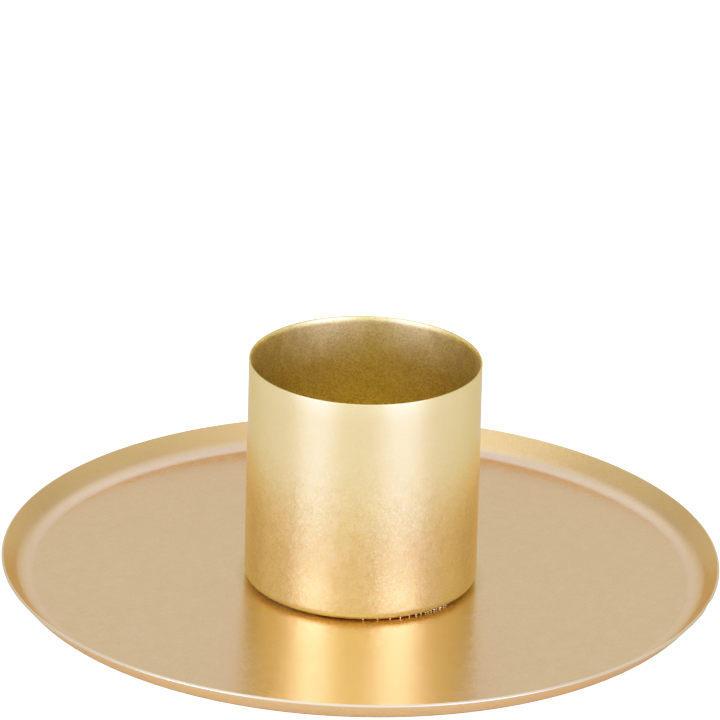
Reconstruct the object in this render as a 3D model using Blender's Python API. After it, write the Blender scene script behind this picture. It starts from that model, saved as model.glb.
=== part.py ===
"""Pillar candle holder: a pressed gold plate with an upturned rim, a deep-drawn cup riveted to its centre,
and three rubber pads under it. The frame is +Z up, with its origin on the table under the cup's axis."""

import math

import bmesh
import bpy

MM = 0.001

# Driving dimensions, in metres.
GAP = 0.3 * MM  # left between two pieces that touch
SHEET = 0.5 * MM  # thickness of the plate and of the cup

PLATE_RADIUS = 65.0 * MM
RIM_HEIGHT = 4.5 * MM  # from the plate's underside to its top edge
RIM_SLOPE = math.radians(50.0)  # of the rim's wall, from the horizontal
RIM_FILLET = 3.8 * MM  # inner radius between the floor and the rim's wall

CUP_RADIUS = 21.0 * MM
CUP_TOP = 44.0 * MM  # height of the cup's lip above the table
CUP_FILLET = 1.8 * MM  # outer radius under the cup's wall
LIP_ROUND = 0.2 * MM

DENT_DEPTH = 0.1 * MM  # pressed into the cup's floor as the rivet is set
DENT_MARGIN = 0.4 * MM  # from the rivet's upper head out to the foot of the dent's side
DENT_SIDE = 0.2 * MM

SHANK_RADIUS = 2.0 * MM
UPPER_HEAD_RADIUS = 4.0 * MM
UPPER_HEAD_HEIGHT = 0.8 * MM
LOWER_HEAD_RADIUS = 3.6 * MM
LOWER_HEAD_HEIGHT = 0.6 * MM
HEAD_BEVEL = 0.3 * MM

PAD_RADIUS = 5.0 * MM
PAD_HEIGHT = 1.0 * MM
PAD_BEVEL = 0.15 * MM
PAD_CIRCLE_RADIUS = 48.0 * MM
PAD_COUNT = 3
FIRST_PAD_ANGLE = math.radians(-90.0)

PLATE_SEGMENTS = 96
CUP_SEGMENTS = 64
RIVET_SEGMENTS = 32
PAD_SEGMENTS = 24
FILLET_STEPS = 6
LIP_STEPS = 3
SHARP_ANGLE = math.radians(35.0)

# The stack of pieces on the axis, from the table up.
PLATE_BOTTOM = PAD_HEIGHT + GAP
CUP_BOTTOM = PLATE_BOTTOM + SHEET + GAP
HOLE_RADIUS = SHANK_RADIUS + GAP
UPPER_HEAD_BOTTOM = CUP_BOTTOM + SHEET - DENT_DEPTH + GAP
LOWER_HEAD_TOP = PLATE_BOTTOM - GAP

GOLD_SATIN = ("plate_gold", (0.74, 0.55, 0.31, 1.0), 0.32, 1.0)
GOLD_BRIGHT = ("cup_gold", (0.80, 0.56, 0.25, 1.0), 0.26, 1.0)
RIVET_STEEL = ("rivet_metal", (0.72, 0.55, 0.32, 1.0), 0.35, 1.0)
PAD_RUBBER = ("pad_rubber", (0.035, 0.033, 0.031, 1.0), 0.80, 0.0)


def clear_scene():
    for item in list(bpy.data.objects):
        bpy.data.objects.remove(item)


def make_material(name, colour, roughness, metallic):
    material = bpy.data.materials.new(name)
    material.use_nodes = True
    shader = material.node_tree.nodes["Principled BSDF"]
    shader.inputs["Base Color"].default_value = colour
    shader.inputs["Roughness"].default_value = roughness
    shader.inputs["Metallic"].default_value = metallic
    material.diffuse_color = colour
    return material


def arc(centre, radius, start, end, steps):
    """Points on an arc of the outline, as (distance from the axis, height). Angles are in radians."""
    points = []
    for i in range(steps + 1):
        angle = start + (end - start) * i / steps
        points.append((centre[0] + radius * math.cos(angle), centre[1] + radius * math.sin(angle)))
    return points


def turned(name, outline, segments, closed):
    """A solid of revolution about Z. An open outline starts and ends on the axis."""
    shape = bmesh.new()
    points = [shape.verts.new((distance, 0.0, height)) for distance, height in outline]
    edges = [shape.edges.new(pair) for pair in zip(points, points[1:])]
    if closed:
        edges.append(shape.edges.new((points[-1], points[0])))
    bmesh.ops.spin(
        shape,
        geom=points + edges,
        cent=(0.0, 0.0, 0.0),
        axis=(0.0, 0.0, 1.0),
        angle=2.0 * math.pi,
        steps=segments,
    )
    bmesh.ops.remove_doubles(shape, verts=shape.verts, dist=0.001 * MM)
    bmesh.ops.recalc_face_normals(shape, faces=shape.faces)
    mesh = bpy.data.meshes.new(name)
    shape.to_mesh(mesh)
    shape.free()
    mesh.shade_smooth()
    mesh.set_sharp_from_angle(angle=SHARP_ANGLE)
    return mesh


def place(name, mesh, material, location, parent):
    piece = bpy.data.objects.new(name, mesh)
    bpy.context.scene.collection.objects.link(piece)
    if not mesh.materials:
        mesh.materials.append(material)
    piece.location = location
    piece.parent = parent
    return piece


def plate_outline():
    """The plate's section, from the rivet hole out along the top of the floor, over the rim and back below."""
    run_x = math.cos(RIM_SLOPE)
    run_z = math.sin(RIM_SLOPE)
    top_edge = (PLATE_RADIUS - SHEET * run_z, RIM_HEIGHT)
    outer_edge = (PLATE_RADIUS, RIM_HEIGHT - SHEET * run_x)
    fillet_rise = RIM_FILLET * (1.0 - run_x)
    wall_rise = RIM_HEIGHT - SHEET - fillet_rise
    floor_radius = top_edge[0] - wall_rise * run_x / run_z - RIM_FILLET * run_z
    centre = (floor_radius, SHEET + RIM_FILLET)
    flat = -0.5 * math.pi
    inner = arc(centre, RIM_FILLET, flat, flat + RIM_SLOPE, FILLET_STEPS)
    outer = arc(centre, RIM_FILLET + SHEET, flat + RIM_SLOPE, flat, FILLET_STEPS)
    return [(HOLE_RADIUS, SHEET)] + inner + [top_edge, outer_edge] + outer + [(HOLE_RADIUS, 0.0)]


def cup_outline():
    """The cup's section, from the rivet hole out below the floor, up the wall, over the lip and down inside."""
    height = CUP_TOP - CUP_BOTTOM
    flat = -0.5 * math.pi
    centre = (CUP_RADIUS - CUP_FILLET, CUP_FILLET)
    outer = arc(centre, CUP_FILLET, flat, 0.0, FILLET_STEPS)
    inner = arc(centre, CUP_FILLET - SHEET, 0.0, flat, FILLET_STEPS)
    lip_height = height - LIP_ROUND
    outer_lip = arc((CUP_RADIUS - LIP_ROUND, lip_height), LIP_ROUND, 0.0, -flat, LIP_STEPS)
    inner_lip = arc((CUP_RADIUS - SHEET + LIP_ROUND, lip_height), LIP_ROUND, -flat, math.pi, LIP_STEPS)
    dent_radius = UPPER_HEAD_RADIUS + DENT_MARGIN
    dent_floor = SHEET - DENT_DEPTH
    floor = [(dent_radius + DENT_SIDE, SHEET), (dent_radius, dent_floor), (HOLE_RADIUS, dent_floor)]
    return [(HOLE_RADIUS, 0.0)] + outer + outer_lip + inner_lip + inner + floor


def rivet_outline():
    """The rivet's section, up from the middle of its lower head to the middle of its upper head."""
    head_bottom = UPPER_HEAD_BOTTOM
    head_top = UPPER_HEAD_BOTTOM + UPPER_HEAD_HEIGHT
    foot_bottom = LOWER_HEAD_TOP - LOWER_HEAD_HEIGHT
    return [
        (0.0, foot_bottom),
        (LOWER_HEAD_RADIUS - HEAD_BEVEL, foot_bottom),
        (LOWER_HEAD_RADIUS, foot_bottom + HEAD_BEVEL),
        (LOWER_HEAD_RADIUS, LOWER_HEAD_TOP),
        (SHANK_RADIUS, LOWER_HEAD_TOP),
        (SHANK_RADIUS, head_bottom),
        (UPPER_HEAD_RADIUS, head_bottom),
        (UPPER_HEAD_RADIUS, head_top - HEAD_BEVEL),
        (UPPER_HEAD_RADIUS - HEAD_BEVEL, head_top),
        (0.0, head_top),
    ]


def pad_outline():
    """A pad's section: a disc with both of its edges broken."""
    return [
        (0.0, 0.0),
        (PAD_RADIUS - PAD_BEVEL, 0.0),
        (PAD_RADIUS, PAD_BEVEL),
        (PAD_RADIUS, PAD_HEIGHT - PAD_BEVEL),
        (PAD_RADIUS - PAD_BEVEL, PAD_HEIGHT),
        (0.0, PAD_HEIGHT),
    ]


def make_plate(parent):
    mesh = turned("plate", plate_outline(), PLATE_SEGMENTS, closed=True)
    place("plate", mesh, make_material(*GOLD_SATIN), (0.0, 0.0, PLATE_BOTTOM), parent)


def make_cup(parent):
    mesh = turned("cup", cup_outline(), CUP_SEGMENTS, closed=True)
    place("cup", mesh, make_material(*GOLD_BRIGHT), (0.0, 0.0, CUP_BOTTOM), parent)


def make_rivet(parent):
    mesh = turned("rivet", rivet_outline(), RIVET_SEGMENTS, closed=False)
    place("rivet", mesh, make_material(*RIVET_STEEL), (0.0, 0.0, 0.0), parent)


def make_pads(parent):
    mesh = turned("pad", pad_outline(), PAD_SEGMENTS, closed=False)
    rubber = make_material(*PAD_RUBBER)
    for i in range(PAD_COUNT):
        angle = FIRST_PAD_ANGLE + 2.0 * math.pi * i / PAD_COUNT
        x = PAD_CIRCLE_RADIUS * math.cos(angle)
        y = PAD_CIRCLE_RADIUS * math.sin(angle)
        place(f"pad_{i + 1}", mesh, rubber, (x, y, 0.0), parent)


def build():
    clear_scene()
    holder = bpy.data.objects.new("candle_holder", None)
    bpy.context.scene.collection.objects.link(holder)
    make_plate(holder)
    make_cup(holder)
    make_rivet(holder)
    make_pads(holder)


build()
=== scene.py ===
"""Looks of the pillar candle holder: satin gold paint on thin pressed steel, built round the CAD frame."""

import math
import random

import bmesh
import bpy
from mathutils import Matrix, Vector


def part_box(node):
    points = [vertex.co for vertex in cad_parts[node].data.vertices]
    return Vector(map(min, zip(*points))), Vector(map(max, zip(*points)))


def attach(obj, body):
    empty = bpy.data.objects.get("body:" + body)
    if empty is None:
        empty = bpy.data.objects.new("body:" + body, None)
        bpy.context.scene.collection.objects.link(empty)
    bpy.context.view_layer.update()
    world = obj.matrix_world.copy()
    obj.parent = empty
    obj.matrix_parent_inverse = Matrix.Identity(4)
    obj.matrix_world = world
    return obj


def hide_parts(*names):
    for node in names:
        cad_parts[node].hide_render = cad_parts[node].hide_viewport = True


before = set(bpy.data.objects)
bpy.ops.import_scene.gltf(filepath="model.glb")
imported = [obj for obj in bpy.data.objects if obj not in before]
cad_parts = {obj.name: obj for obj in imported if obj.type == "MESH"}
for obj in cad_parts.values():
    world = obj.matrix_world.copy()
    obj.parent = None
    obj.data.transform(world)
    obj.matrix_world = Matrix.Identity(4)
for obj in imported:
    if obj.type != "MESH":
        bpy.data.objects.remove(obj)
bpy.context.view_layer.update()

MM = 0.001

# Places and sizes read from the frame.
PLATE_LOW, PLATE_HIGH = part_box("plate")
CUP_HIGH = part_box("cup")[1]
RIVET_LOW, RIVET_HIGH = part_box("rivet")
PLATE_RADIUS = PLATE_HIGH.x
PLATE_BOTTOM = PLATE_LOW.z
RIM_TOP = PLATE_HIGH.z
CUP_RADIUS = CUP_HIGH.x
LIP_TOP = CUP_HIGH.z

# Sizes that the frame doesn't give, the same as the CAD's.
SHEET = 0.5 * MM
FLOOR_TOP = PLATE_BOTTOM + SHEET
RIM_SLOPE = math.radians(50.0)
RIM_FILLET = 3.8 * MM
CUP_FILLET = 1.8 * MM
SHANK_RADIUS = 2.0 * MM

# Sizes of the looks alone.
RIM_EDGE_ROUND = 0.16 * MM
LIP_ROUND = 0.15 * MM
LIP_EASE = 1.3 * MM  # height of the eased inner side of the lip
HAIR_GAP = 0.02 * MM  # left where the real pieces touch
CUP_BOTTOM = FLOOR_TOP + HAIR_GAP
CUP_FLOOR = CUP_BOTTOM + SHEET
HOLE_RADIUS = SHANK_RADIUS + HAIR_GAP
SEAM_RADIUS = CUP_RADIUS - 0.6 * CUP_FILLET  # where the cup's foot curves down to the plate

PLATE_SEGMENTS = 288
CUP_SEGMENTS = 192
SMALL_SEGMENTS = 96
SHARP_ANGLE = math.radians(40.0)
HALF_PI = 0.5 * math.pi
ON_AXIS = 1e-7  # a point of an outline that is nearer to the axis than this lies on it

# Paint colours, linear.
PLATE_GOLD = (0.745, 0.490, 0.28)
CUP_GOLD = (0.88, 0.65, 0.215)
# thin coarse paint, and painted shade: a darker copy of the cup's gold for the inside
INSIDE_SHADED_GOLD = (0.75, 0.59, 0.17)
# painted shade: a darker, more saturated copy of the plate's gold on the rim
RIM_SHADED_GOLD = (0.735, 0.435, 0.158)
# painted light: a copy of the gold for the faces turned down, the rim's outer wall and the underside
DOWNWARD_LIT_GOLD = (0.79, 0.525, 0.185)
WORN_EDGE = (0.80, 0.64, 0.38)
STARVED_BROWN = (0.33, 0.20, 0.085)
# painted shade: dark brown where shade falls in the seam between the cup and the plate
CREVICE_SHADE_BROWN = (0.55, 0.36, 0.16)
# painted shade and painted reflection: olive darkening on the floor round the cup's foot
SEAM_SHADE_OLIVE = (0.47, 0.35, 0.13)
LACQUER = (0.95, 0.86, 0.62)
GOLD_EDGE = (0.82, 0.64, 0.38, 1.0)  # tint of the paint at a grazing angle

# Roughness of the paint, and how far it strays either way.
PLATE_ROUGHNESS = 0.22
RIM_ROUGHER = 0.12  # more, on the rim and its fillet
CUP_ROUGHNESS = 0.33
INSIDE_ROUGHER = 0.06  # more, inside the cup
ROUGHNESS_UNDER = 0.02
ROUGHNESS_OVER = 0.03

# Width of the metal flakes in the paint, and how far their normals lean.
PLATE_FLAKE = 0.26 * MM
PLATE_LEAN = 0.05
CUP_FLAKE = 0.25 * MM
CUP_LEAN = 0.065
SMALL_FLAKE = 0.15 * MM
SMALL_LEAN = 0.08
PEEL_SCALE = 900.0  # of the lacquer's orange peel
PEEL_DEPTH = 0.004 * MM

# Where the plate's paint changes, as distances from the axis.
# The rim's darker painted-shade copy of the gold sets in between these.
RIM_PAINT_START = PLATE_RADIUS - 4.6 * MM
RIM_PAINT_END = PLATE_RADIUS - 1.8 * MM
RIM_ROUGH_START = PLATE_RADIUS - 6.0 * MM
RIM_ROUGH_END = PLATE_RADIUS - 5.2 * MM
WORN_START = PLATE_RADIUS - 0.50 * MM
WORN_END = PLATE_RADIUS - 0.36 * MM
STARVED_START = SEAM_RADIUS - 1.3 * MM
STARVED_END = SEAM_RADIUS + 0.3 * MM
# Painted shade and painted reflection of the cup's foot, fading out from the seam.
SEAM_SHADE_START = SEAM_RADIUS + 0.2 * MM
SEAM_SHADE_END = SEAM_RADIUS + 3.4 * MM
# Painted shade in the seam under the cup's foot.
CREVICE_SHADE_START = SEAM_RADIUS - 0.2 * MM
CREVICE_SHADE_END = SEAM_RADIUS + 0.05 * MM

# Heights between which the worn line along the rim's edge sets in.
WORN_BOTTOM = RIM_TOP - 0.60 * MM
WORN_TOP = RIM_TOP - 0.45 * MM

# Bearings of the starved paint beside the seam, in degrees: where it sets in, is full, and ends again.
STARVED_LEFT = (-92.0, -72.0, -42.0, -14.0)
STARVED_RIGHT = (40.0, 55.0, 80.0, 95.0)
STARVED_RIGHT_SHARE = 0.6  # of what there is at the left
STARVED_RAGGED = 2.4 * MM  # the most that a crumb moves its edge

# Where the cup's paint changes: through its wall, and up it.
INSIDE_END = CUP_RADIUS - 0.7 * SHEET
OUTSIDE_START = CUP_RADIUS - 0.3 * SHEET
GRAINY_TOP = 0.45 * LIP_TOP
FINE_BOTTOM = 0.85 * LIP_TOP

# Scales of the noise and cells in the paint. A higher one is finer.
PLATE_BROAD = 55.0
PLATE_CLOUD = 420.0
CUP_BROAD = 60.0
CUP_CLOUD = 520.0
SMALL_CLOUD = 800.0
CRUMB_SCALE = 3200.0
SCRATCH_SCALE = 90.0
SCRATCH_PATCHES = 130.0
MOTE_SCALE = 150.0
SPECK_SCALE = 260.0


# ---------------------------------------------------------------- outlines and meshes

def arc(centre, radius, start, end, steps):
    """Points on an arc of an outline, as (distance from the axis, height)."""
    points = []
    for i in range(steps + 1):
        angle = start + (end - start) * i / steps
        points.append((centre[0] + radius * math.cos(angle), centre[1] + radius * math.sin(angle)))
    return points


def run(start, end, steps):
    """Points on a straight stretch, without its last one."""
    points = []
    for i in range(steps):
        t = i / steps
        points.append((start[0] + (end[0] - start[0]) * t, start[1] + (end[1] - start[1]) * t))
    return points


def turned(name, outline, segments, closed=True, centre=(0.0, 0.0)):
    """A solid of revolution about a vertical axis through centre.

    An open outline starts and ends on the axis, and a closed one stays clear of it.
    """
    shape = bmesh.new()
    rings = []
    for distance, height in outline:
        if distance < ON_AXIS:
            rings.append([shape.verts.new((centre[0], centre[1], height))])
            continue
        ring = []
        for i in range(segments):
            angle = 2.0 * math.pi * i / segments
            x = centre[0] + distance * math.cos(angle)
            y = centre[1] + distance * math.sin(angle)
            ring.append(shape.verts.new((x, y, height)))
        rings.append(ring)
    pairs = list(zip(rings, rings[1:]))
    if closed:
        pairs.append((rings[-1], rings[0]))
    for lower, upper in pairs:
        for i in range(segments):
            j = (i + 1) % segments
            below = [lower[i % len(lower)], lower[j % len(lower)]]
            above = [upper[j % len(upper)], upper[i % len(upper)]]
            unique = list(dict.fromkeys(below + above))
            if len(unique) > 2:
                shape.faces.new(unique)
    bmesh.ops.recalc_face_normals(shape, faces=shape.faces)
    mesh = bpy.data.meshes.new(name)
    shape.to_mesh(mesh)
    shape.free()
    mesh.shade_smooth()
    mesh.set_sharp_from_angle(angle=SHARP_ANGLE)
    return mesh


def show(name, mesh, material, slot, *nodes):
    """Links a piece that rides on the one body and stands for the CAD nodes named."""
    piece = bpy.data.objects.new(name, mesh)
    bpy.context.scene.collection.objects.link(piece)
    mesh.materials.append(material)
    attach(piece, "root")
    if nodes:
        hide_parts(*nodes)


# ---------------------------------------------------------------- material nodes

class Nodes:
    """A small helper that adds shader nodes and links them."""

    def __init__(self, owner):
        owner.use_nodes = True
        self.owner = owner
        self.tree = owner.node_tree
        self.shader = self.tree.nodes.get("Principled BSDF")

    def feed(self, socket, value):
        if isinstance(value, bpy.types.NodeSocket):
            self.tree.links.new(value, socket)
        else:
            socket.default_value = value

    def add(self, kind, inputs, **settings):
        node = self.tree.nodes.new(kind)
        for key, value in settings.items():
            setattr(node, key, value)
        for key, value in inputs.items():
            self.feed(node.inputs[key], value)
        return node

    def place(self):
        return self.add("ShaderNodeTexCoord", {}).outputs["Object"]

    def surface(self):
        return self.add("ShaderNodeNewGeometry", {}).outputs["Normal"]

    def parts(self, value):
        return self.add("ShaderNodeSeparateXYZ", {"Vector": value}).outputs

    def math(self, operation, a, b=0.0):
        return self.add("ShaderNodeMath", {0: a, 1: b}, operation=operation).outputs[0]

    def vector(self, operation, a, b=(0.0, 0.0, 0.0)):
        return self.add("ShaderNodeVectorMath", {0: a, 1: b}, operation=operation).outputs[0]

    def scale(self, a, factor):
        return self.add("ShaderNodeVectorMath", {0: a, "Scale": factor}, operation="SCALE").outputs[0]

    def toward(self, a, direction):
        node = self.add("ShaderNodeVectorMath", {0: a, 1: direction}, operation="DOT_PRODUCT")
        return node.outputs["Value"]

    def noise(self, place, scale, detail=2.0, roughness=0.5):
        inputs = {"Vector": place, "Scale": scale, "Detail": detail, "Roughness": roughness}
        return self.add("ShaderNodeTexNoise", inputs).outputs["Fac"]

    def cells(self, place, scale):
        node = self.add("ShaderNodeTexVoronoi", {"Vector": place, "Scale": scale})
        return node.outputs["Color"], node.outputs["Distance"]

    def ramp(self, value, low, high, out_low=0.0, out_high=1.0):
        inputs = {"Value": value, "From Min": low, "From Max": high, "To Min": out_low, "To Max": out_high}
        return self.add("ShaderNodeMapRange", inputs, interpolation_type="SMOOTHSTEP").outputs["Result"]

    def mix(self, factor, a, b):
        node = self.add("ShaderNodeMix", {}, data_type="RGBA")
        self.feed(node.inputs["Factor"], factor)
        self.feed(node.inputs[6], a)
        self.feed(node.inputs[7], b)
        return node.outputs[2]

    def bump(self, height, distance, normal=None):
        inputs = {"Height": height, "Distance": distance}
        if normal is not None:
            inputs["Normal"] = normal
        return self.add("ShaderNodeBump", inputs).outputs["Normal"]


def rgba(colour, factor=1.0):
    return (colour[0] * factor, colour[1] * factor, colour[2] * factor, 1.0)


def from_axis(n, place):
    """The distance from the object's axis."""
    flat = n.vector("MULTIPLY", place, (1.0, 1.0, 0.0))
    return n.add("ShaderNodeVectorMath", {0: flat}, operation="LENGTH").outputs["Value"]


def bearing_of(n, place):
    """The bearing in degrees from the object's front, positive to the right."""
    along = n.parts(place)
    behind = n.math("MULTIPLY", along[1], -1.0)
    return n.math("DEGREES", n.math("ARCTAN2", along[0], behind))


def flakes(n, place, size, tilt):
    """Metal flakes in the paint: the brightness of each one, and a normal that leans with them."""
    colour, _ = n.cells(place, 1.0 / size)
    brightness = n.add("ShaderNodeSeparateColor", {"Color": colour}).outputs[0]
    lean = n.scale(n.vector("SUBTRACT", colour, (0.5, 0.5, 0.5)), tilt)
    leaning = n.vector("NORMALIZE", n.vector("ADD", n.surface(), lean))
    peel = n.noise(place, PEEL_SCALE)
    return brightness, n.bump(peel, PEEL_DEPTH, leaning)


def metallic_paint(n, base, rough, normal):
    """Satin metallic paint under a thin clear lacquer."""
    n.feed(n.shader.inputs["Base Color"], base)
    n.feed(n.shader.inputs["Roughness"], rough)
    n.feed(n.shader.inputs["Normal"], normal)
    n.shader.inputs["Metallic"].default_value = 1.0
    n.shader.inputs["Specular Tint"].default_value = GOLD_EDGE
    n.shader.inputs["Coat Weight"].default_value = 0.25
    n.shader.inputs["Coat Roughness"].default_value = 0.22
    n.shader.inputs["Coat IOR"].default_value = 1.5
    return n.owner


def band(n, value, low, rise, fall, high):
    """One between rise and fall, and zero below low and above high."""
    return n.math("MULTIPLY", n.ramp(value, low, rise), n.ramp(value, fall, high, 1.0, 0.0))


def shaded(n, shade, colour, darkest=0.95, brightest=1.5):
    """A colour that is darker or brighter with the shade of the flakes."""
    return n.mix(shade, rgba(colour, darkest), rgba(colour, brightest))


def plate_colour(n, place, distance, height, upper, brightness):
    """The plate's colour: floor, rim, underside and the worn line along the rim's edge. The rim has a
    darker painted-shade copy of the gold, and faces turned down a painted-light copy.
    """
    broad = n.noise(place, PLATE_BROAD, 3.0)
    on_rim = n.ramp(distance, RIM_PAINT_START, RIM_PAINT_END)
    glitter = n.ramp(on_rim, 0.0, 1.0, 0.14, 0.18)
    shade = n.math("ADD", n.math("MULTIPLY", brightness, glitter), n.math("MULTIPLY", broad, 0.07))
    # Painted shade: the rim gets a darker copy of the gold.
    base = n.mix(on_rim, shaded(n, shade, PLATE_GOLD), shaded(n, shade, RIM_SHADED_GOLD))
    # Painted light: faces turned down get their own lit copy of the gold.
    base = n.mix(upper, shaded(n, shade, DOWNWARD_LIT_GOLD), base)
    outermost = n.ramp(distance, WORN_START, WORN_END)
    worn = n.math("MULTIPLY", outermost, n.ramp(height, WORN_BOTTOM, WORN_TOP))
    return n.mix(worn, base, rgba(WORN_EDGE))


def starved_patches(n, distance, bearing, crumb):
    """Where the paint is thin and grainy beside the seam: much of it at the left, some at the right."""
    ragged = n.math("ADD", distance, n.math("MULTIPLY", crumb, -STARVED_RAGGED))
    beside = n.ramp(ragged, STARVED_START, STARVED_END, 1.0, 0.0)
    left = band(n, bearing, *STARVED_LEFT)
    right = n.math("MULTIPLY", band(n, bearing, *STARVED_RIGHT), STARVED_RIGHT_SHARE)
    return n.math("MULTIPLY", beside, n.math("ADD", left, right))


def floor_marks(n, place):
    """Hair scratches in a few patches, and motes of dust."""
    wander = n.noise(place, SCRATCH_SCALE, 1.0)
    hair = n.ramp(n.math("ABSOLUTE", n.math("SUBTRACT", wander, 0.5)), 0.0, 0.0020, 1.0, 0.0)
    patch = n.ramp(n.noise(place, SCRATCH_PATCHES, 1.0), 0.57, 0.63)
    scratch = n.math("MULTIPLY", hair, patch)
    mote = n.ramp(n.cells(place, MOTE_SCALE)[1], 0.018, 0.034, 1.0, 0.0)
    return n.math("MAXIMUM", scratch, mote)


def plate_paint():
    """The plate's paint: starved and grainy beside the seam, with painted shade and reflection round the
    cup's foot, painted shade in the seam, and dust and hair scratches on the floor.
    """
    n = Nodes(bpy.data.materials.new("plate_paint"))
    place = n.place()
    distance = from_axis(n, place)
    bearing = bearing_of(n, place)
    height = n.parts(place)[2]
    upper = n.ramp(n.parts(n.surface())[2], -0.1, 0.1)
    brightness, normal = flakes(n, place, PLATE_FLAKE, PLATE_LEAN)
    base = plate_colour(n, place, distance, height, upper, brightness)

    crumb = n.noise(place, CRUMB_SCALE, 3.0, 0.7)
    starved = n.math("MULTIPLY", upper, starved_patches(n, distance, bearing, crumb))
    base = n.mix(n.math("MULTIPLY", starved, 0.6), base, rgba(STARVED_BROWN))
    # Painted shade and painted reflection: the floor darkens to olive towards the cup's foot.
    seam_shade = n.ramp(distance, SEAM_SHADE_START, SEAM_SHADE_END, 0.7, 0.0)
    base = n.mix(n.math("MULTIPLY", upper, seam_shade), base, rgba(SEAM_SHADE_OLIVE))
    # Painted shade: the seam under the cup's foot is darkened to brown.
    crevice_shade = n.ramp(distance, CREVICE_SHADE_START, CREVICE_SHADE_END, 1.0, 0.0)
    base = n.mix(n.math("MULTIPLY", upper, crevice_shade), base, rgba(CREVICE_SHADE_BROWN))
    mark = floor_marks(n, place)
    base = n.mix(n.math("MULTIPLY", mark, 0.5), base, rgba(PLATE_GOLD, 0.62))

    cloud = n.noise(place, PLATE_CLOUD)
    rough = n.ramp(cloud, 0.3, 0.7, PLATE_ROUGHNESS - ROUGHNESS_UNDER, PLATE_ROUGHNESS + ROUGHNESS_OVER)
    rough = n.math("ADD", rough, n.math("MULTIPLY", n.math("MAXIMUM", starved, mark), 0.25))
    by_rim = n.ramp(distance, RIM_ROUGH_START, RIM_ROUGH_END, 0.0, RIM_ROUGHER)
    rough = n.math("ADD", rough, by_rim)
    normal = n.bump(n.math("MULTIPLY", starved, crumb), 0.05 * MM, normal)
    return metallic_paint(n, base, rough, normal)


def cup_paint():
    """The cup's paint: fine and even near the lip, grainier towards the foot, coarse and thin inside, and
    darker inside as painted shade.
    """
    n = Nodes(bpy.data.materials.new("cup_paint"))
    place = n.place()
    distance = from_axis(n, place)
    height = n.parts(place)[2]
    inside = n.ramp(distance, INSIDE_END, OUTSIDE_START, 1.0, 0.0)
    lower = n.ramp(height, GRAINY_TOP, FINE_BOTTOM, 1.0, 0.35)
    brightness, normal = flakes(n, place, CUP_FLAKE, n.math("MULTIPLY", lower, CUP_LEAN))
    broad = n.noise(place, CUP_BROAD, 3.0)
    glitter = n.math("ADD", n.math("MULTIPLY", lower, 0.36), n.math("MULTIPLY", inside, 0.35))
    shade = n.math("ADD", n.math("MULTIPLY", brightness, glitter), n.math("MULTIPLY", broad, 0.06))
    outer_gold = shaded(n, shade, CUP_GOLD, darkest=0.94)
    # Painted shade, with the thin coarse paint: the inside gets a darker copy of the gold.
    inner_shaded_gold = shaded(n, shade, INSIDE_SHADED_GOLD, darkest=0.80, brightest=1.6)
    base = n.mix(inside, outer_gold, inner_shaded_gold)
    speck = n.ramp(n.cells(place, SPECK_SCALE)[1], 0.03, 0.06, 1.0, 0.0)
    strength = n.ramp(inside, 0.0, 1.0, 0.12, 0.5)
    base = n.mix(n.math("MULTIPLY", speck, strength), base, rgba(CUP_GOLD, 0.5))
    cloud = n.noise(place, CUP_CLOUD, 3.0)
    rough = n.ramp(cloud, 0.3, 0.7, CUP_ROUGHNESS - ROUGHNESS_UNDER, CUP_ROUGHNESS + ROUGHNESS_OVER)
    rough = n.math("ADD", rough, n.math("MULTIPLY", inside, INSIDE_ROUGHER))
    return metallic_paint(n, base, rough, normal)


def plain_paint(name, colour, roughness):
    """The paint on the small pieces."""
    n = Nodes(bpy.data.materials.new(name))
    place = n.place()
    brightness, normal = flakes(n, place, SMALL_FLAKE, SMALL_LEAN)
    base = shaded(n, brightness, colour, darkest=0.93, brightest=1.04)
    rough = n.ramp(n.noise(place, SMALL_CLOUD), 0.3, 0.7, roughness - 0.03, roughness + 0.03)
    return metallic_paint(n, base, rough, normal)


def rubber():
    n = Nodes(bpy.data.materials.new("pad_rubber"))
    place = n.place()
    grain = n.noise(place, 2500.0, 3.0)
    broad = n.noise(place, 300.0)
    base = n.mix(n.ramp(broad, 0.3, 0.7), (0.030, 0.029, 0.027, 1.0), (0.046, 0.044, 0.041, 1.0))
    n.feed(n.shader.inputs["Base Color"], base)
    n.feed(n.shader.inputs["Roughness"], n.ramp(grain, 0.3, 0.7, 0.70, 0.86))
    n.feed(n.shader.inputs["Normal"], n.bump(grain, 0.02 * MM))
    return n.owner


def adhesive():
    """The milky double-sided film that holds a pad to the plate."""
    n = Nodes(bpy.data.materials.new("adhesive_film"))
    fibre = n.noise(n.place(), 1800.0, 4.0, 0.7)
    base = n.mix(fibre, (0.60, 0.58, 0.50, 1.0), (0.78, 0.76, 0.68, 1.0))
    n.feed(n.shader.inputs["Base Color"], base)
    n.feed(n.shader.inputs["Roughness"], n.ramp(fibre, 0.3, 0.7, 0.40, 0.60))
    return n.owner


# ---------------------------------------------------------------- pieces

# Steps along the plate's and the cup's outlines.
PLATE_FLOOR_STEPS = 8
RIM_FILLET_STEPS = 18
RIM_EDGE_STEPS = 5
CUP_FLOOR_STEPS = 5
CUP_WALL_STEPS = 12
CUP_FOOT_STEPS = 14
CUP_CORNER_STEPS = 10
LIP_STEPS = 6
LIP_EASE_STEPS = 12


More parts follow.
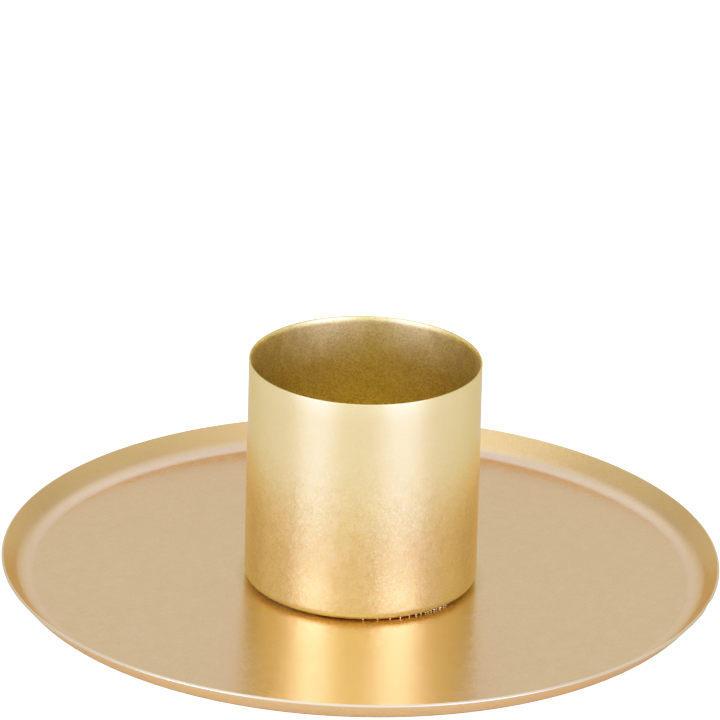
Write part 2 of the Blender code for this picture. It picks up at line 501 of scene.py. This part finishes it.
def plate_outline():
    """The plate's section, out along the top of the floor, over the rim and back below."""
    along = (math.cos(RIM_SLOPE), math.sin(RIM_SLOPE))
    inward = (-along[1], along[0])
    fillet_rise = RIM_FILLET * (1.0 - along[0])
    inner_corner = (PLATE_RADIUS - SHEET * along[1], RIM_TOP)
    wall_rise = RIM_TOP - FLOOR_TOP - fillet_rise
    floor_radius = inner_corner[0] - wall_rise * along[0] / along[1] - RIM_FILLET * along[1]
    centre = (floor_radius, FLOOR_TOP + RIM_FILLET)
    inner_centre = (
        inner_corner[0] - along[0] * RIM_EDGE_ROUND - inward[0] * RIM_EDGE_ROUND,
        inner_corner[1] - along[1] * RIM_EDGE_ROUND - inward[1] * RIM_EDGE_ROUND,
    )
    across = SHEET - 2.0 * RIM_EDGE_ROUND
    outer_centre = (inner_centre[0] - inward[0] * across, inner_centre[1] - inward[1] * across)
    up = RIM_SLOPE + HALF_PI
    outline = run((HOLE_RADIUS, FLOOR_TOP), (floor_radius, FLOOR_TOP), PLATE_FLOOR_STEPS)
    outline += arc(centre, RIM_FILLET, -HALF_PI, -HALF_PI + RIM_SLOPE, RIM_FILLET_STEPS)
    outline += arc(inner_centre, RIM_EDGE_ROUND, up, RIM_SLOPE, RIM_EDGE_STEPS)
    outline += arc(outer_centre, RIM_EDGE_ROUND, RIM_SLOPE, RIM_SLOPE - HALF_PI, RIM_EDGE_STEPS)
    outline += arc(centre, RIM_FILLET + SHEET, -HALF_PI + RIM_SLOPE, -HALF_PI, RIM_FILLET_STEPS)
    outline += run((floor_radius, PLATE_BOTTOM), (HOLE_RADIUS, PLATE_BOTTOM), PLATE_FLOOR_STEPS)[1:]
    outline.append((HOLE_RADIUS, PLATE_BOTTOM))
    return outline


def cup_outline():
    """The cup's section, out below its floor, up the wall, over the lip and down inside."""
    centre = (CUP_RADIUS - CUP_FILLET, CUP_BOTTOM + CUP_FILLET)
    inner_radius = CUP_RADIUS - SHEET
    lip = LIP_TOP - LIP_ROUND
    ease_bottom = LIP_TOP - LIP_EASE
    outline = run((HOLE_RADIUS, CUP_BOTTOM), (centre[0], CUP_BOTTOM), CUP_FLOOR_STEPS)
    outline += arc(centre, CUP_FILLET, -HALF_PI, 0.0, CUP_FOOT_STEPS)
    outline += run((CUP_RADIUS, centre[1]), (CUP_RADIUS, lip), CUP_WALL_STEPS)[1:]
    outline += arc((CUP_RADIUS - LIP_ROUND, lip), LIP_ROUND, 0.0, HALF_PI, LIP_STEPS)
    for i in range(1, LIP_EASE_STEPS + 1):
        angle = HALF_PI * (1.0 + i / LIP_EASE_STEPS)
        distance = CUP_RADIUS - LIP_ROUND + (SHEET - LIP_ROUND) * math.cos(angle)
        outline.append((distance, ease_bottom + LIP_EASE * math.sin(angle)))
    outline += run((inner_radius, ease_bottom), (inner_radius, centre[1]), CUP_WALL_STEPS)[1:]
    outline += arc(centre, CUP_FILLET - SHEET, 0.0, -HALF_PI, CUP_CORNER_STEPS)
    outline += run((centre[0], CUP_FLOOR), (HOLE_RADIUS, CUP_FLOOR), CUP_FLOOR_STEPS)[1:]
    outline.append((HOLE_RADIUS, CUP_FLOOR))
    return outline


RIM_WAVES = [(2, 0.05 * MM, 0.4), (3, 0.04 * MM, 2.1), (7, 0.015 * MM, 1.3)]  # lobes, height, phase
WAVES_START = PLATE_RADIUS - 2.0 * RIM_FILLET  # the plate stays flat inside this
KNOCK_BEARING = math.radians(75.0)
KNOCK_DEPTH = 0.30 * MM
KNOCK_WIDTH = math.radians(1.3)


def work_rim(mesh):
    """Gives the rim the faint waves of a pressing, and one small knock at the right."""
    most = sum(height for _, height, _ in RIM_WAVES)
    for point in mesh.vertices:
        distance = math.hypot(point.co.x, point.co.y)
        share = max(0.0, (distance - WAVES_START) / (PLATE_RADIUS - WAVES_START))
        bearing = math.atan2(point.co.x, -point.co.y)
        wave = sum(height * math.cos(lobes * bearing + phase) for lobes, height, phase in RIM_WAVES)
        knock = math.exp(-0.5 * ((bearing - KNOCK_BEARING) / KNOCK_WIDTH) ** 2) * share ** 3
        point.co.z += (wave - most) * share * share - 0.5 * KNOCK_DEPTH * knock
        inward = 1.0 - KNOCK_DEPTH * knock / distance
        point.co.x *= inward
        point.co.y *= inward


def build_plate():
    mesh = turned("pressed_plate", plate_outline(), PLATE_SEGMENTS)
    work_rim(mesh)
    show("pressed_plate", mesh, plate_paint(), "plate_gold", "plate")


def build_cup():
    mesh = turned("drawn_cup", cup_outline(), CUP_SEGMENTS)
    show("drawn_cup", mesh, cup_paint(), "cup_gold", "cup")


RIVET_HEAD_RADIUS = RIVET_HIGH.x - 0.1 * MM
RIVET_HEAD_RISE = 0.85 * MM
RIVET_HEAD_CORNER = 0.1 * MM
RIVET_BORE_RADIUS = 1.2 * MM
RIVET_BORE_CORNER = 0.2 * MM
RIVET_ROLL_RADIUS = 3.3 * MM
RIVET_CLEARANCE = 0.1 * MM  # of the rolled end, above the bottom of the CAD's rivet
RIVET_ROLL_STEPS = 16
RIVET_DOME_STEPS = 12
RIVET_ROUGHNESS = 0.30


def rivet_outline():
    """A tubular rivet: a low dome in the cup, a shank, and a rolled end below the plate."""
    bore_top = FLOOR_TOP
    roll_top = PLATE_BOTTOM - HAIR_GAP
    roll_drop = roll_top - RIVET_LOW.z - RIVET_CLEARANCE
    roll_middle = 0.5 * (RIVET_BORE_RADIUS + RIVET_ROLL_RADIUS)
    roll_half = 0.5 * (RIVET_ROLL_RADIUS - RIVET_BORE_RADIUS)
    head_bottom = CUP_FLOOR + HAIR_GAP
    edge = 0.3 * RIVET_HEAD_RISE
    outline = [(0.0, bore_top), (RIVET_BORE_RADIUS - RIVET_BORE_CORNER, bore_top)]
    outline.append((RIVET_BORE_RADIUS, bore_top - RIVET_BORE_CORNER))
    for i in range(RIVET_ROLL_STEPS + 1):
        angle = math.pi * i / RIVET_ROLL_STEPS
        outline.append((roll_middle - roll_half * math.cos(angle), roll_top - roll_drop * math.sin(angle)))
    outline += [(SHANK_RADIUS, roll_top), (SHANK_RADIUS, head_bottom)]
    outline.append((RIVET_HEAD_RADIUS - RIVET_HEAD_CORNER, head_bottom))
    outline.append((RIVET_HEAD_RADIUS, head_bottom + RIVET_HEAD_CORNER))
    for i in range(RIVET_DOME_STEPS + 1):
        angle = HALF_PI * i / RIVET_DOME_STEPS
        rise = edge + (RIVET_HEAD_RISE - edge) * math.sin(angle)
        outline.append((RIVET_HEAD_RADIUS * math.cos(angle), head_bottom + rise))
    outline[-1] = (0.0, outline[-1][1])
    return outline


def build_rivet():
    mesh = turned("tubular_rivet", rivet_outline(), SMALL_SEGMENTS, closed=False)
    paint = plain_paint("rivet_paint", CUP_GOLD, RIVET_ROUGHNESS)
    show("tubular_rivet", mesh, paint, "rivet_metal", "rivet")


PAD_EDGE_ROUND = 0.18 * MM
FILM_EDGE_ROUND = 0.03 * MM
FILM_INSET = 0.25 * MM
FILM_THICKNESS = 0.18 * MM
DISC_EDGE_STEPS = 5


def disc_outline(radius, bottom, top, edge):
    """A disc's section with both of its edges rounded."""
    outline = [(0.0, bottom)]
    outline += arc((radius - edge, bottom + edge), edge, -HALF_PI, 0.0, DISC_EDGE_STEPS)
    outline += arc((radius - edge, top - edge), edge, 0.0, HALF_PI, DISC_EDGE_STEPS)
    return outline + [(0.0, top)]


def build_pads():
    """A rubber disc and its adhesive film for each pad of the frame."""
    black = rubber()
    film = adhesive()
    top = PLATE_BOTTOM - HAIR_GAP
    rubber_top = top - FILM_THICKNESS
    for i in (1, 2, 3):
        low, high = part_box(f"pad_{i}")
        centre = (0.5 * (low.x + high.x), 0.5 * (low.y + high.y))
        radius = 0.5 * (high.x - low.x)
        outline = disc_outline(radius, low.z, rubber_top, PAD_EDGE_ROUND)
        disc = turned(f"foot_pad_{i}", outline, SMALL_SEGMENTS, closed=False, centre=centre)
        show(f"foot_pad_{i}", disc, black, "pad_rubber", f"pad_{i}")
        outline = disc_outline(radius - FILM_INSET, rubber_top, top, FILM_EDGE_ROUND)
        sheet = turned(f"pad_film_{i}", outline, SMALL_SEGMENTS, closed=False, centre=centre)
        show(f"pad_film_{i}", sheet, film, "pad_rubber")


BEAD_FIRST = 2.0  # bearing, in degrees from the front
BEAD_LAST = 52.0
BEAD_SPACING = 8.0
BEAD_CROWDING = 0.83  # each space against the one before it
BEAD_LEAST_SPACE = 1.7
BEAD_SEED = 7
BEAD_HALF_WIDTH = 0.12 * MM
BEAD_HALF_DEPTH = 0.24 * MM
BEAD_HALF_HEIGHT = 0.17 * MM
BEAD_SUNK = 0.85  # height of its middle above the plate, against its half height
BEAD_ROUGHNESS = 0.22


def build_beads():
    """Drops of lacquer that bridge the seam between the cup and the plate at the right front."""
    draw = random.Random(BEAD_SEED)
    shape = bmesh.new()
    bearing = BEAD_FIRST
    space = BEAD_SPACING
    while bearing < BEAD_LAST:
        half_width = BEAD_HALF_WIDTH * draw.uniform(0.75, 1.25)
        half_height = BEAD_HALF_HEIGHT * draw.uniform(0.9, 1.15)
        angle = math.radians(bearing + draw.uniform(-0.5, 0.5))
        radius = SEAM_RADIUS + draw.uniform(-0.02, 0.06) * MM
        turn = Matrix.Rotation(angle, 4, "Z")
        there = turn @ Matrix.Translation((0.0, -radius, FLOOR_TOP + BEAD_SUNK * half_height))
        grown = there @ Matrix.Diagonal((half_width, BEAD_HALF_DEPTH, half_height, 1.0))
        bmesh.ops.create_icosphere(shape, subdivisions=3, radius=1.0, matrix=grown)
        bearing += space
        space = max(BEAD_LEAST_SPACE, space * BEAD_CROWDING)
    mesh = bpy.data.meshes.new("seam_lacquer_beads")
    shape.to_mesh(mesh)
    shape.free()
    mesh.shade_smooth()
    show("seam_lacquer_beads", mesh, plain_paint("bead_lacquer", LACQUER, BEAD_ROUGHNESS), "cup_gold")


# ---------------------------------------------------------------- floor, light and camera

TABLE_WHITE = 0.75
TABLE_GLOW = 3.4
TABLE_ROUGHNESS = 0.3
TABLE_HALF = 4.0  # half of its width

STRIP_COLOUR = (1.0, 0.87, 1.85)
FILL_COLOUR = (1.0, 1.01, 0.97)
SKY_COLOUR = (1.02, 1.12, 1.42)
PANEL_DISTANCE = 1.6
LEFT = -46.0  # azimuths of the panels, in degrees
RIGHT = 38.0
FRONT = -4.0

ROOM_EVEN = 0.51  # brightness of the room all round
ROOM_HIGH = 0.82  # more, overhead
ROOM_BEHIND = 0.75  # more, low down behind the object
ROOM_SIDE = 0.75  # more, low down at the left and right
ROOM_BACK_STRIP = 0.85  # more, in a soft strip high behind the object
WINDOW_GLOW = 1.15  # more, round the direction of a high window
WINDOW_AZIMUTH = math.radians(-22.0)
WINDOW_ELEVATION = math.radians(56.0)
SKY_ELEVATION = math.radians(68.0)  # of the cool light above and behind


def build_floor():
    """A white table that shows over-exposed. Its glow is for the camera's rays only, and lights nothing."""
    n = Nodes(bpy.data.materials.new("studio_floor"))
    n.shader.inputs["Base Color"].default_value = (TABLE_WHITE, TABLE_WHITE, TABLE_WHITE, 1.0)
    n.shader.inputs["Roughness"].default_value = TABLE_ROUGHNESS
    n.shader.inputs["Emission Color"].default_value = (1.0, 1.0, 1.0, 1.0)
    seen = n.add("ShaderNodeLightPath", {}).outputs["Is Camera Ray"]
    n.feed(n.shader.inputs["Emission Strength"], n.math("MULTIPLY", seen, TABLE_GLOW))
    mesh = bpy.data.meshes.new("studio_floor")
    half = TABLE_HALF
    corners = [(-half, -half, 0.0), (half, -half, 0.0), (half, half, 0.0), (-half, half, 0.0)]
    mesh.from_pydata(corners, [], [(0, 1, 2, 3)])
    mesh.materials.append(n.owner)
    floor = bpy.data.objects.new("studio_floor", mesh)
    bpy.context.scene.collection.objects.link(floor)


def direction(azimuth, elevation):
    """The way from the object to a light. Azimuth is from the camera's side, positive to its right."""
    flat = math.cos(elevation)
    return Vector((math.sin(azimuth) * flat, -math.cos(azimuth) * flat, math.sin(elevation)))


def softbox(name, colour, azimuth, elevation, half_size, brightness):
    """A panel that faces the object. Its place and half sizes are in degrees, as the object sees it."""
    way = direction(math.radians(azimuth), math.radians(elevation))
    half_width, half_height = half_size
    light = bpy.data.lights.new(name, "AREA")
    light.shape = "RECTANGLE"
    light.size = 2.0 * PANEL_DISTANCE * math.tan(math.radians(half_width))
    light.size_y = 2.0 * PANEL_DISTANCE * math.tan(math.radians(half_height))
    light.color = colour
    light.energy = 4.0 * light.size * light.size_y * brightness
    panel = bpy.data.objects.new(name, light)
    panel.location = way * PANEL_DISTANCE
    panel.rotation_euler = way.to_track_quat("Z", "Y").to_euler()
    bpy.context.scene.collection.objects.link(panel)


def build_room():
    """A pale room, brighter overhead, behind and at the sides, with a high window and a cool sky."""
    world = bpy.data.worlds.new("studio")
    bpy.context.scene.world = world
    n = Nodes(world)
    way = n.add("ShaderNodeTexCoord", {}).outputs["Generated"]
    up = n.parts(way)[2]
    flat = n.parts(n.vector("NORMALIZE", n.vector("MULTIPLY", way, (1.0, 1.0, 0.0))))
    across = flat[0]
    back = flat[1]
    side = n.ramp(n.math("ABSOLUTE", across), 0.75, 1.0, 0.0, ROOM_SIDE)
    behind = n.ramp(back, 0.5, 1.0, 0.0, ROOM_BEHIND)
    low = n.math("MULTIPLY", n.math("ADD", side, behind), n.ramp(up, 0.30, 0.70, 1.0, 0.0))
    strip = n.math("MULTIPLY", n.ramp(up, 0.46, 0.60), n.ramp(up, 0.66, 0.84, ROOM_BACK_STRIP, 0.0))
    strip = n.math("MULTIPLY", strip, n.ramp(back, 0.2, 0.9))
    high = n.math("ADD", strip, n.ramp(up, 0.45, 0.90, 0.0, ROOM_HIGH))
    windowward = n.toward(way, direction(WINDOW_AZIMUTH, WINDOW_ELEVATION))
    high = n.math("ADD", high, n.ramp(windowward, 0.68, 1.0, 0.0, WINDOW_GLOW))
    skyward = n.toward(way, (0.0, math.cos(SKY_ELEVATION), math.sin(SKY_ELEVATION)))
    colour = n.mix(n.ramp(skyward, 0.72, 0.94), rgba(FILL_COLOUR), rgba(SKY_COLOUR))
    background = world.node_tree.nodes["Background"]
    n.feed(background.inputs["Color"], colour)
    n.feed(background.inputs["Strength"], n.math("ADD", n.math("ADD", high, low), ROOM_EVEN))


def build_light():
    """The room, two bright low strips with a dimmer panel over each, and a fill at the front."""
    build_room()
    softbox("strip_left", STRIP_COLOUR, LEFT, 8.0, half_size=(14.0, 6.5), brightness=21.6)
    softbox("strip_right", STRIP_COLOUR, RIGHT, 8.0, half_size=(17.0, 6.5), brightness=19.6)
    softbox("strip_left_top", STRIP_COLOUR, LEFT, 22.0, half_size=(14.0, 7.5), brightness=2.6)
    softbox("strip_right_top", STRIP_COLOUR, RIGHT, 22.0, half_size=(17.0, 7.5), brightness=2.6)
    softbox("fill_front", FILL_COLOUR, FRONT, 10.0, half_size=(25.0, 8.5), brightness=1.75)


CAMERA_PLACE = Vector((0.0, -1.5301, 0.6780))
CAMERA_AIM = Vector((-1.05 * MM, 0.0, 43.9 * MM))
CAMERA_ROLL = math.radians(1.526)
CAMERA_LENS = 462.2


def build_camera():
    data = bpy.data.cameras.new("camera")
    data.sensor_width = 36.0
    data.lens = CAMERA_LENS
    data.clip_start = 0.05
    data.clip_end = 50.0
    camera = bpy.data.objects.new("camera", data)
    bpy.context.scene.collection.objects.link(camera)
    turn = (CAMERA_AIM - CAMERA_PLACE).to_track_quat("-Z", "Y").to_matrix().to_4x4()
    camera.matrix_world = Matrix.Translation(CAMERA_PLACE) @ turn @ Matrix.Rotation(CAMERA_ROLL, 4, "Z")
    bpy.context.scene.camera = camera


FILM_WHITE = 3.0  # scene brightness that the film shows as white
FILM_START = 0.85  # power that shapes the shoulder's start
FILM_END = 2.25  # power that shapes its end
FILM_POINTS = 12


def set_film():
    """A camera's soft shoulder: bright light rolls off instead of clipping."""
    view = bpy.context.scene.view_settings
    view.view_transform = "Standard"
    view.use_curve_mapping = True
    view.curve_mapping.white_level = (FILM_WHITE, FILM_WHITE, FILM_WHITE)
    combined = view.curve_mapping.curves[3]
    for i in range(1, FILM_POINTS):
        x = i / FILM_POINTS
        combined.points.new(x, 1.0 - (1.0 - x ** FILM_START) ** FILM_END)
    view.curve_mapping.update()


build_floor()
build_light()
build_camera()
build_plate()
build_cup()
build_rivet()
build_pads()
build_beads()

set_film()
